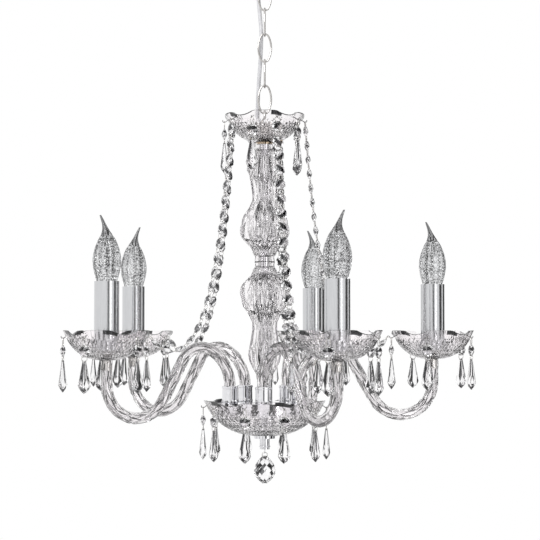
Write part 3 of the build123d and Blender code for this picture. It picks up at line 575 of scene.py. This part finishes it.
# The line values set painted shade along the flute lines.
line_low = 12
line_high = 126
line_width = 0.17
line_shade = 0.4
bore_side = 6 * mm
baluster_length = 137.5
baluster_profile = [
    (11.7, 0), (11.7, 6.4), (13.2, 8), (16.4, 15), (21.6, 21), (26.3, 27), (29.7, 37.5), (27, 50), (19.3, 62),
    (14.9, 77), (16.4, 91), (19.7, 104), (18.7, 113.5), (16.6, 120.5), (13.5, 126.4), (10, 132),
    (9.5, baluster_length),
]
joint_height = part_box("upper_baluster")[0][2]
for name, flip in (("upper_baluster", 0), ("lower_baluster", pi)):
    outline = in_metres(smooth_outline(baluster_profile, 5))
    outline = [(rod_bore, 0)] + outline + [(rod_bore, baluster_length * mm)]
    shape = lathe(outline, ribs * steps_per_rib, closed=True)
    for vertex in shape.verts:
        height = vertex.co.z / mm
        fade = min(1.0, max(0.0, (height - leaf_low) / leaf_fade), max(0.0, (leaf_high - height) / leaf_fade))
        if hypot(vertex.co.x, vertex.co.y) > bore_side and fade > 0:
            around = atan2(vertex.co.y, vertex.co.x) * ribs / 2
            left = abs(sin(around + height * leaf_lean))
            right = abs(sin(around - height * leaf_lean))
            vertex.co.xy *= 1 - leaf_cut * fade * (1 - left * right)
    # Painted shade: thin dark lines along both sets of flutes.
    shade = shape.faces.layers.float.new("shade")
    for face in shape.faces:
        spot = face.calc_center_median()
        around = atan2(spot.y, spot.x) * ribs / 2
        lean = spot.z / mm * leaf_lean
        near = min(abs(sin(around + lean)), abs(sin(around - lean)))
        if spot.xy.length > bore_side and line_low < spot.z / mm < line_high and near < line_width:
            face[shade] = line_shade
    where = Matrix.Translation((0, 0, joint_height)) @ Matrix.Rotation(flip, 4, "X")
    bmesh.ops.transform(shape, matrix=where, verts=shape.verts)
    hand_over(f"{name}_glass", shape, "chandelier", [cut_glass], name)
print("baluster joint at", joint_height)

# %% [markdown]
# ## The line of an arm
# Each arm stands up out of its cup, swings over a crest, runs down and sweeps up again to its dish. That
# is a chain of straights and arcs, each starting where the last one ended, in a plane through the cup.
# The straight run down takes up whatever length the arcs leave of the arm's reach.

# %% Arm line
arm_foot = 2.5 * mm
cup_height = 19.3 * mm
rise_radius = 46.8 * mm
rise_turn = 65
crest_radius = 28 * mm
descent_slope = 60
sweep_radius = 39 * mm
arm_end = 26.6 * mm


def arm_points(place, heading):
    spots = [(0.0, arm_foot), (0.0, cup_height)]

    def swing(radius, first, last, count):
        side = spots[-1][0] - radius * cos(radians(first))
        height = spots[-1][1] - radius * sin(radians(first))
        for step in range(1, count + 1):
            angle = radians(first + (last - first) * step / count)
            spots.append((side + radius * cos(angle), height + radius * sin(angle)))

    rise, fall = radians(rise_turn), radians(descent_slope)
    arcs = rise_radius * (1 - cos(rise)) + crest_radius * (cos(rise) + sin(fall))
    arcs += sweep_radius * (1 + sin(fall))
    descent = (arm_reach - arcs) / cos(fall)
    swing(rise_radius, 180, 180 - rise_turn, 8)
    swing(crest_radius, 180 - rise_turn, 90 - descent_slope, 8)
    spots.append((spots[-1][0] + descent * cos(fall), spots[-1][1] - descent * sin(fall)))
    swing(sweep_radius, 270 - descent_slope, 360, 12)
    spots.append((spots[-1][0], spots[-1][1] + arm_end))
    return [place + polar(side, heading, height) for side, height in spots]


print("arm line of", len(arm_points(cup_places[0], arm_headings[0])), "points")

# %% [markdown]
# ## Twisted arms
# Each arm is a glass rod twisted while hot, so that its flutes run round it like the strands of a rope.
# A screw-wise spin of a lobed ring makes a straight twisted rod, and a Curve modifier bends it along the
# arm's line. Twisting a bent rod would be harder. Short dashes of painted shade lie in the flutes, where
# the real rod turns the light away.

# %% Arms
strands = 6
steps_per_strand = 8
arm_radius = 6.75 * mm
arm_bore = 4.2 * mm
arm_steps = 150
twist_lead = 210 * mm
flute_depth = 0.11
dash_pitch = 24 * mm
dash_shift = 0.37
dash_width = 0.13
dash_share = 0.45
dash_shade = 0.9


def twisted_rod(length):
    rod = bmesh.new()
    sides = strands * steps_per_strand
    bmesh.ops.create_circle(rod, segments=sides, radius=arm_radius, cap_ends=False)
    for vertex in rod.verts:
        lobe = abs(sin(atan2(vertex.co.y, vertex.co.x) * strands / 2))
        vertex.co *= 1 - flute_depth * (1 - lobe)
    bmesh.ops.create_circle(rod, segments=sides, radius=arm_bore, cap_ends=False)
    bmesh.ops.spin(
        rod, geom=rod.verts[:] + rod.edges[:], cent=(0, 0, 0), axis=(0, 0, 1),
        angle=2 * pi * length / twist_lead, steps=arm_steps, dvec=(0, 0, length / arm_steps), use_merge=False,
    )
    for end in (0, length):
        rims = [edge for edge in rod.edges if edge.is_boundary and abs(edge.verts[0].co.z - end) < 1e-5]
        bmesh.ops.bridge_loops(rod, edges=rims)
    bmesh.ops.recalc_face_normals(rod, faces=rod.faces)
    # Painted shade: dark dashes along the flutes.
    shade = rod.faces.layers.float.new("shade")
    for face in rod.faces:
        spot = face.calc_center_median()
        turn = (atan2(spot.y, spot.x) / (2 * pi) - spot.z / twist_lead) * strands
        dash = (spot.z / dash_pitch + dash_shift * round(turn)) % 1
        in_flute = spot.xy.length > arm_bore * 1.05 and abs(turn - round(turn)) < dash_width
        if in_flute and dash < dash_share:
            face[shade] = dash_shade
    return mesh_of("arm_straight", rod)


def twisted_arm(number, place, heading):
    points = arm_points(place, heading)
    length = sum((b - a).length for a, b in zip(points, points[1:]))
    line = bpy.data.curves.new("arm_line", "CURVE")
    line.dimensions = "3D"
    line.twist_mode = "MINIMUM"
    spline = line.splines.new("POLY")
    spline.points.add(len(points) - 1)
    for knot, point in zip(spline.points, points):
        knot.co = (*point, 1)
    guide = bpy.data.objects.new("arm_line", line)
    bpy.context.scene.collection.objects.link(guide)
    rod = add_piece("arm_rod", twisted_rod(length), [])
    bend = rod.modifiers.new("bend", "CURVE")
    bend.object = guide
    bend.deform_axis = "POS_Z"
    bpy.context.view_layer.update()
    bent = bpy.data.meshes.new_from_object(rod.evaluated_get(bpy.context.evaluated_depsgraph_get()))
    shape = bmesh.new()
    shape.from_mesh(bent)
    bpy.data.objects.remove(rod)
    bpy.data.objects.remove(guide)
    bmesh.ops.recalc_face_normals(shape, faces=shape.faces)
    for face in shape.faces:
        face.smooth = True
    hand_over(f"arm_{number}_glass", shape, "chandelier", [arm_glass], f"arm_{number}")
    return length


for number, place, heading in zip(lamps, cup_places, arm_headings):
    print("arm", number, "length", round(twisted_arm(number, place, heading), 4))

# %% [markdown]
# ## Crystals
# A cut crystal is flat faces round a few rings of corners, each ring turned half a step from the next, so
# the hull of those rings is the stone. There are hundreds of stones, so each kind is made once with few
# faces. The facets on a narrow band to one side get painted shade, a painted dark reflection for the one
# dark flash that a crystal on white shows.

# %% Stones
facet_shade = 0.98


def cut_stone(name, sections, sides, dark_from, dark_to, flat=1.0):
    stone = bmesh.new()
    for index, (radius, height) in enumerate(sections):
        ring = bmesh.ops.create_circle(stone, segments=sides, radius=radius * mm, cap_ends=False)["verts"]
        turn = Matrix.Rotation((index % 2) * pi / sides, 4, "Z")
        squeeze = Matrix.Diagonal((1, flat, 1, 1))
        where = Matrix.Translation((0, 0, height * mm)) @ squeeze @ turn
        bmesh.ops.transform(stone, matrix=where, verts=ring)
    bmesh.ops.delete(stone, geom=stone.edges[:], context="EDGES_FACES")
    hull = bmesh.ops.convex_hull(stone, input=stone.verts[:])
    spare = hull["geom_interior"] + hull["geom_unused"]
    inside = {item for item in spare if isinstance(item, bmesh.types.BMVert)}
    bmesh.ops.delete(stone, geom=list(inside), context="VERTS")
    bmesh.ops.dissolve_limit(stone, angle_limit=radians(1), verts=stone.verts[:], edges=stone.edges[:])
    bmesh.ops.recalc_face_normals(stone, faces=stone.faces)
    widest = max(radius for radius, height in sections) * mm
    # Painted dark reflection: the facets in a narrow band to one side, from dark_from to dark_to of the
    # widest ring.
    shade = stone.faces.layers.float.new("shade")
    for face in stone.faces:
        if dark_from < face.calc_center_median().x / widest < dark_to:
            face[shade] = facet_shade
    return mesh_of(name, stone)


bead_sections = [(0.5, 3.2), (4.6, 1.9), (7.0, 0.4), (7.0, -0.4), (4.6, -1.9), (0.5, -3.2)]
drop_sections = [(2.0, 18), (2.7, 14), (5.9, -2), (7.4, -10), (5.2, -14), (0.6, -18)]
ball_sections = [
    (2.2, 16), (6.0, 12.5), (9.6, 8.4), (11.9, 4), (12.9, -0.6), (12.2, -5), (9.9, -9.4), (6.4, -13.2),
    (2.6, -16),
]
stones = {
    "bead": cut_stone("bead", bead_sections, sides=8, dark_from=0.12, dark_to=0.5),
    "drop": cut_stone("drop", drop_sections, sides=8, dark_from=-0.5, dark_to=-0.14, flat=0.65),
    "ball": cut_stone("ball", ball_sections, sides=10, dark_from=-0.5, dark_to=-0.25),
}
print("faces of a stone", {kind: len(mesh.polygons) for kind, mesh in stones.items()})

# %% [markdown]
# ## Rings and pins
# Wire joins the stones. A ring is a small circle spun round a larger one and then drawn out to the link's
# length and width. The pendants hang from the rims by bent pins, and a pin is a row of small circles
# along a given line, bridged from one to the next. Wire this thin needs no more than four sides.

# %% Rings and pins
wire_sides = 4
ring_steps = 14
ring_finish = 1
pin_finish = 2
pin_line = [
    (-7.2, -1.4), (-4.9, -2.4), (-2.6, -3.9), (-1.1, -5.1), (0.2, -5.5), (1.5, -5.1), (2.1, -4.0),
    (2.0, -2.9),
]


def wire_mesh(name, wire, finish_index):
    bmesh.ops.recalc_face_normals(wire, faces=wire.faces)
    for face in wire.faces:
        face.smooth = True
        face.material_index = finish_index
    return mesh_of(name, wire)


def wire_ring(half_long, half_wide, wire):
    ring = bmesh.new()
    bmesh.ops.create_circle(ring, segments=wire_sides, radius=wire / 2, cap_ends=False)
    upright = Matrix.Translation((1, 0, 0)) @ Matrix.Rotation(pi / 2, 4, "X")
    bmesh.ops.transform(ring, matrix=upright, verts=ring.verts)
    bmesh.ops.spin(
        ring, geom=ring.verts[:] + ring.edges[:], cent=(0, 0, 0), axis=(0, 0, 1), angle=2 * pi,
        steps=ring_steps, use_merge=True,
    )
    for vertex in ring.verts:
        around = atan2(vertex.co.y, vertex.co.x)
        out = hypot(vertex.co.x, vertex.co.y) - 1
        vertex.co.x = (half_long + out) * cos(around)
        vertex.co.y = (half_wide + out) * sin(around)
    return wire_mesh("wire_ring", ring, ring_finish)


def bent_pin(wire):
    pin = bmesh.new()
    rows = []
    for index, (side, height) in enumerate(pin_line):
        before = pin_line[max(0, index - 1)]
        after = pin_line[min(len(pin_line) - 1, index + 1)]
        slope = atan2(after[1] - before[1], after[0] - before[0])
        circle = bmesh.ops.create_circle(pin, segments=wire_sides, radius=wire / 2, cap_ends=False)["verts"]
        turn = Matrix.Rotation(-slope, 4, "Y") @ Matrix.Rotation(pi / 2, 4, "Y")
        where = Matrix.Translation((side * mm, 0, height * mm)) @ turn
        bmesh.ops.transform(pin, matrix=where, verts=circle)
        rows.append(list(dict.fromkeys(edge for vertex in circle for edge in vertex.link_edges)))
    for first, second in zip(rows, rows[1:]):
        bmesh.ops.bridge_loops(pin, edges=first + second)
    bmesh.ops.holes_fill(pin, edges=[edge for edge in pin.edges if edge.is_boundary])
    return wire_mesh("bent_pin", pin, pin_finish)


print("pin of", len(pin_line), "circles")

# %% [markdown]
# ## Finding the stones
# A CAD node of pendants holds many loose shells. Each shell's principal axes, the directions in which its
# points spread most and least, give its middle, its turn and its size, so nothing has to be placed by hand.

# %% Finding the stones
def loose_shells(shape):
    seen = set()
    for first in shape.verts:
        shell, front = [], [] if first in seen else [first]
        seen.add(first)
        while front:
            vertex = front.pop()
            shell.append(vertex)
            fresh = [edge.other_vert(vertex) for edge in vertex.link_edges]
            fresh = [other for other in fresh if other not in seen]
            seen.update(fresh)
            front += fresh
        if shell:
            yield shell


def shell_frame(shell):
    points = np.array([vertex.co for vertex in shell])
    middle = points.mean(axis=0)
    axes = np.linalg.eigh(np.cov((points - middle).T))[1][:, ::-1]
    along = (points - middle) @ axes
    low, high = along.min(axis=0), along.max(axis=0)
    middle = middle + axes @ ((low + high) / 2)
    return Vector(middle), [Vector(axis) for axis in axes.T], high - low


def found_stones(name):
    source = bmesh.new()
    source.from_mesh(nodes[name].data)
    bmesh.ops.remove_doubles(source, verts=source.verts, dist=2e-6)
    found = [shell_frame(shell) for shell in loose_shells(source)]
    source.free()
    return sorted(found, key=lambda stone: stone[0].xy.length - stone[0].z / 2)


print("shells of the finial ball", len(found_stones("finial_ball")))

# %% [markdown]
# ## Setting the stones
# A shell's size tells what it is: thin shells are wire, long ones are drops or the ball, and the rest
# are beads. A pendant's long hook becomes a bent pin, unless it faces the column, where it carries a
# garland and stays a ring. The beads of a garland lie as the CAD has them, and only which facets carry
# the painted dark reflection turns from bead to bead, in steps of the octagon.

# %% Setting the stones
wire_limit = 2 * mm
hook_length = 11.5 * mm
drop_length = 25 * mm
ball_width = 18 * mm
octagon_step = 45
facet_skip = 3


def chosen_stone(name, found, index):
    middle, (first, second, third), extent = found[index]
    axis = min([stem_axis] + lamp_places, key=lambda spot: (spot - middle).xy.length)
    outward = Vector((*(middle - axis).xy, 0)).normalized()
    faces_column = axis.length > 0 and outward.dot(axis.normalized()) < -0.9
    wire = extent[2]
    if wire < wire_limit and extent[0] > hook_length and "pendants" in name and not faces_column:
        return "pin", bent_pin(wire), outward, Vector((0, 0, 1))
    if wire < wire_limit:
        return "ring", wire_ring((extent[0] - wire) / 2, (extent[1] - wire) / 2, wire), first, third
    if extent[0] > drop_length:
        kind = "ball" if extent[2] > ball_width else "drop"
        return kind, stones[kind], second, first if first.z > 0 else -first
    if "garland" not in name:
        return "bead", stones["bead"], first, third
    strand = found[index + 1][0] - found[index - 1][0]
    along = third.cross(strand).cross(third).normalized()
    # Turning a bead in octagon steps only moves its painted dark reflection to other facets.
    turn = Matrix.Rotation(radians(octagon_step * (facet_skip * index % 8)), 3, third)
    return "bead", stones["bead"], turn @ along, third


def set_stones(name, body):
    shape = bmesh.new()
    shape.faces.layers.float.new("shade")
    found = found_stones(name)
    counts = {}
    for index in range(len(found)):
        kind, template, x_axis, z_axis = chosen_stone(name, found, index)
        counts[kind] = counts.get(kind, 0) + 1
        before = len(shape.verts)
        shape.from_mesh(template)
        shape.verts.ensure_lookup_table()
        turn = Matrix((x_axis, z_axis.cross(x_axis), z_axis)).transposed().to_4x4()
        where = Matrix.Translation(found[index][0]) @ turn
        bmesh.ops.transform(shape, matrix=where, verts=shape.verts[before:])
        if kind not in stones:
            bpy.data.meshes.remove(template)
    hand_over(f"{name}_cut", shape, body, [crystal, wire_plate, pin_plate_painted_dark], name)
    return counts


for name in ["crown_pendants", "bottom_pendants", "dish_pendants"]:
    print(name, set_stones(name, "chandelier"))
swinging = [f"garland_{number}" for number in lamps] + [f"swing_pendant_{number}" for number in lamps]
for name in swinging + ["finial_ball"]:
    print(name, set_stones(name, f"{name}_body"))

# %% [markdown]
# ## Flame bulbs
# Each bulb is clear glass with a crossed ripple, drawn out at the top into a tip that is bent over while
# soft. A thin wall with the ripple on it renders flat and grey, so the bulb is turned as one solid of
# glass. Its wall gets the diamond cut, its tip leans by a power of its height, and painted shade darkens
# the tip and scatters dark flecks over the facets, for the dark the glass refracts there. Blender may list
# faces in another order each run, so they are sorted by row and step before a seeded draw picks the flecks.
# The screw cap is turned alone.

# %% Bulbs
bulb_outline = [
    (6.8, -25), (8.6, -14), (11.4, 0), (14.6, 12), (15.8, 22), (14.4, 33), (10.6, 44), (6.4, 52), (3.7, 58),
    (2.3, 63.5), (1.6, 69), (1.0, 73.5),
]
cap_outline = [
    (0, -25), (6.75, -25), (6.75, -27), (6.3, -28), (6.75, -29), (6.3, -30.5), (6.75, -32), (6.3, -33.5),
    (6.75, -35), (6.3, -36.5), (6.75, -38), (6.3, -40), (4, -44), (2.4, -46), (2.2, -48.5), (0, -49),
]
bulb_steps = 44
cap_steps = 32
ripple_low = -4 * mm
ripple_high = 50 * mm
ripple_cut = 0.28 * mm
tip_lean = 7.5 * mm
tip_from = 48 * mm
tip_bend = 1.6
tip_fade = 9 * mm
# tip_shade and fleck_shade are painted shade on the bulb glass.
tip_shade = 0.7
fleck_shade = 0.6
fleck_share = 2 / 7
tip_headings = (180, 180, 0, 180, 0)
sleeve_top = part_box("candle_sleeve_1")[1][2]


def flame(outer, seed):
    def grid_place(face):
        spot = face.calc_center_median()
        row = sum(spot.z > height for radius, height in outer)
        return row, floor(atan2(spot.y, spot.x) / pi * bulb_steps + 0.25)

    shape = lathe(outer, bulb_steps)
    bmesh.ops.holes_fill(shape, edges=[edge for edge in shape.edges if edge.is_boundary])
    bmesh.ops.recalc_face_normals(shape, faces=shape.faces)
    rippled = [point for point in outer if ripple_low < point[1] < ripple_high]
    shade = cut_diamonds(shape, rippled, bulb_steps, ripple_cut, 0.0)
    for vertex in shape.verts:
        rise = max(0.0, vertex.co.z - tip_from) / (outer[-1][1] - tip_from)
        vertex.co.x += tip_lean * rise ** tip_bend
    dice = random.Random(seed)
    # Painted shade: a dark tip and scattered dark flecks.
    for face in sorted(shape.faces, key=grid_place):
        height = face.calc_center_median().z
        face.smooth = height > tip_from
        face[shade] = min(tip_shade, max(0.0, (height - tip_from) / tip_fade))
        if ripple_low < height < tip_from and dice.random() < fleck_share:
            face[shade] = fleck_shade
    return shape


for number, place, heading in zip(lamps, lamp_places, tip_headings):
    shape = flame(in_metres(smooth_outline(bulb_outline, 6)), number)
    join_part(shape, lathe(in_metres(cap_outline), cap_steps), 1)
    where = Matrix.Translation((place.x, place.y, sleeve_top)) @ Matrix.Rotation(radians(heading), 4, "Z")
    bmesh.ops.transform(shape, matrix=where, verts=shape.verts)
    finishes = [bulb_glass, wire_plate]
    hand_over(f"bulb_{number}_glass", shape, f"bulb_{number}_body", finishes, f"bulb_{number}")
print("bulbs on", sleeve_top)

# %% [markdown]
# ## Arm cups
# The arms stand in bright plated cups on the hub. Each is a turned cup with a rolled lip and foot. The
# five belong to one CAD node, so they are joined into one piece.

# %% Arm cups
cup_steps = 48
cup_outline = [
    (2.2, 0), (9.0, 0), (9.5, 0.6), (9.5, 2.2), (9.0, 3), (8.9, 16), (9.5, 16.8), (9.5, 18.6), (9.0, 19.3),
    (7.4, 19.3), (6.95, 18.8), (6.95, 2.5), (2.2, 2.5),
]
shape = bmesh.new()
for place in cup_places:
    cup = lathe(in_metres(cup_outline), cup_steps, closed=True)
    bmesh.ops.translate(cup, verts=cup.verts, vec=place)
    join_part(shape, cup)
hand_over("arm_cups_plated", shape, "chandelier", [chrome], "arm_cups")
print("cups at", round(hub_top, 4))

# %% [markdown]
# ## Lampholders
# Inside each sleeve stands a white lampholder on a plated plate, screwed down by a threaded pipe that
# goes through the dish into the arm. Only the plate and pipe show, through the glass, so both parts are
# plain turnings.

# %% Lampholders
holder_steps = 32
holder_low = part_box("lampholders")[0][2]
holder_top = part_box("lampholders")[1][2]
cup_top = (holder_top - holder_low) / mm
socket_floor = cup_top - 28
pipe_bore = 2.4
plate_top = 21
pipe_outline = [
    (pipe_bore, 0), (4, 0), (4, 15), (7.5, 15), (7.5, 19), (14.6, 19), (15.2, 19.5), (15.2, plate_top),
    (pipe_bore, plate_top),
]
holder_outline = [
    (pipe_bore, plate_top), (11.5, plate_top), (11.5, cup_top), (7.3, cup_top), (7.3, socket_floor),
    (pipe_bore, socket_floor),
]
shape = bmesh.new()
for place in lamp_places:
    for index, outline in enumerate((pipe_outline, holder_outline)):
        turned = lathe(in_metres(outline), holder_steps, closed=True)
        bmesh.ops.translate(turned, verts=turned.verts, vec=(place.x, place.y, holder_low))
        join_part(shape, turned, index)
finishes = [wire_plate, white_plastic]
hand_over("lampholders_turned", shape, "chandelier", finishes, "lampholders")
print("lampholders from", round(holder_low, 4), "to", round(holder_top, 4))

# %% [markdown]
# ## The white field
# Clear glass is photographed against a bright field. The world is white for the camera and for what is
# seen in plate and through glass, and a little weaker as light, so that pale surfaces keep their tone.

# %% World
soft_light = 0.75
world = bpy.data.worlds.new("white_field")
bpy.context.scene.world = world
world.use_nodes = True
field = Shading(world.node_tree)
paths = field.node("ShaderNodeLightPath")
seen = paths.output("Is Camera Ray") + paths.output("Is Glossy Ray") + paths.output("Is Transmission Ray")
strength = field.node("ShaderNodeMapRange", {"clamp": True}, Value=seen, To_Min=soft_light, To_Max=1.0)
background = world.node_tree.nodes["Background"]
field.feed(background.inputs["Color"], (1, 1, 1, 1))
field.feed(background.inputs["Strength"], strength)
print("world", world.name)

# %% [markdown]
# ## Dark cards
# On a white field, glass and plate get their dark edges from black cards that stand round them, out of the
# camera's sight. One set for both would draw stripes on the sleeves, so the glass cards and the two
# bands are seen only through glass, and the plate cards only in reflections.

# %% Cards
card_finish = Finish("card")
card_finish.set(Base_Color=(0.01, 0.01, 0.01, 1), Roughness=0.9)
card_distance = 1.3
card_low = -1.6
card_high = 0.7
glass_cards = [(22, 16), (66, 12), (114, 12), (158, 16), (206, 14), (246, 14), (288, 12), (344, 14)]
plate_cards = [(281, 13), (350, 26), (40, 40)]
bands = {"upper_band": (0.12, 0.36), "lower_band": (-1.28, -1.04)}


def set_card(name, shape, for_glass):
    piece = add_piece(name, mesh_of(name, shape), [card_finish.material])
    piece.visible_camera = False
    piece.visible_shadow = False
    piece.visible_diffuse = False
    piece.visible_glossy = not for_glass
    piece.visible_transmission = for_glass


def flat_card(heading, span):
    shape = bmesh.new()
    width = 2 * card_distance * tan(radians(span / 2))
    bmesh.ops.create_grid(shape, x_segments=1, y_segments=1, size=0.5)
    bmesh.ops.scale(shape, verts=shape.verts, vec=(width, card_high - card_low, 1))
    stand = Matrix.Rotation(radians(heading + 90), 4, "Z") @ Matrix.Rotation(pi / 2, 4, "X")
    where = Matrix.Translation(polar(card_distance, heading, (card_low + card_high) / 2)) @ stand
    bmesh.ops.transform(shape, matrix=where, verts=shape.verts)
    return shape


for number, (heading, span) in enumerate(glass_cards, start=1):
    set_card(f"glass_card_{number}", flat_card(heading, span), True)
for number, (heading, span) in enumerate(plate_cards, start=1):
    set_card(f"plate_card_{number}", flat_card(heading, span), False)
for name, (low, high) in bands.items():
    shape = bmesh.new()
    bmesh.ops.create_cone(
        shape, segments=64, radius1=card_distance, radius2=card_distance, depth=high - low, cap_ends=False,
        matrix=Matrix.Translation((0, 0, (low + high) / 2)),
    )
    set_card(name, shape, True)
print("cards", len(glass_cards) + len(plate_cards), "bands", len(bands))

# %% [markdown]
# ## Floor and lamps
# A small pale floor lies well below the chandelier. One soft lamp from the upper left models the plate,
# and a tall, narrow lamp gives every sleeve one bright upright line.

# %% Floor and lamps
floor_height = -1.05
middle_height = -0.42
floor_radius = 0.55
disc = bmesh.new()
bmesh.ops.create_circle(disc, segments=96, radius=floor_radius, cap_ends=True)
bmesh.ops.translate(disc, verts=disc.verts, vec=(0, 0, floor_height))
pale_floor = plastic_finish("pale_floor", tint=(0.93, 0.93, 0.93), dark=(0.9, 0.9, 0.9), roughness=0.6)
add_piece("floor", mesh_of("floor", disc), [pale_floor])


def area_lamp(name, place, aim, energy, width, height):
    light = bpy.data.lights.new(name, "AREA")
    light.shape = "RECTANGLE"
    light.size = width
    light.size_y = height
    light.energy = energy
    lamp = bpy.data.objects.new(name, light)
    lamp.location = place
    lamp.rotation_euler = (Vector((0, 0, aim)) - lamp.location).to_track_quat("-Z", "Y").to_euler()
    bpy.context.scene.collection.objects.link(lamp)
    return lamp


area_lamp("soft_key", (-0.9, -1.4, 0.6), aim=-0.45, energy=18, width=0.9, height=0.9)
strip_place = polar(1.4, 304, middle_height)
strip_lamp = area_lamp("strip_lamp", strip_place, aim=middle_height, energy=1.5, width=0.1, height=1.2)
strip_lamp.visible_camera = False
bpy.context.scene.view_settings.view_transform = "Standard"
print("lamps", len(bpy.data.lights))
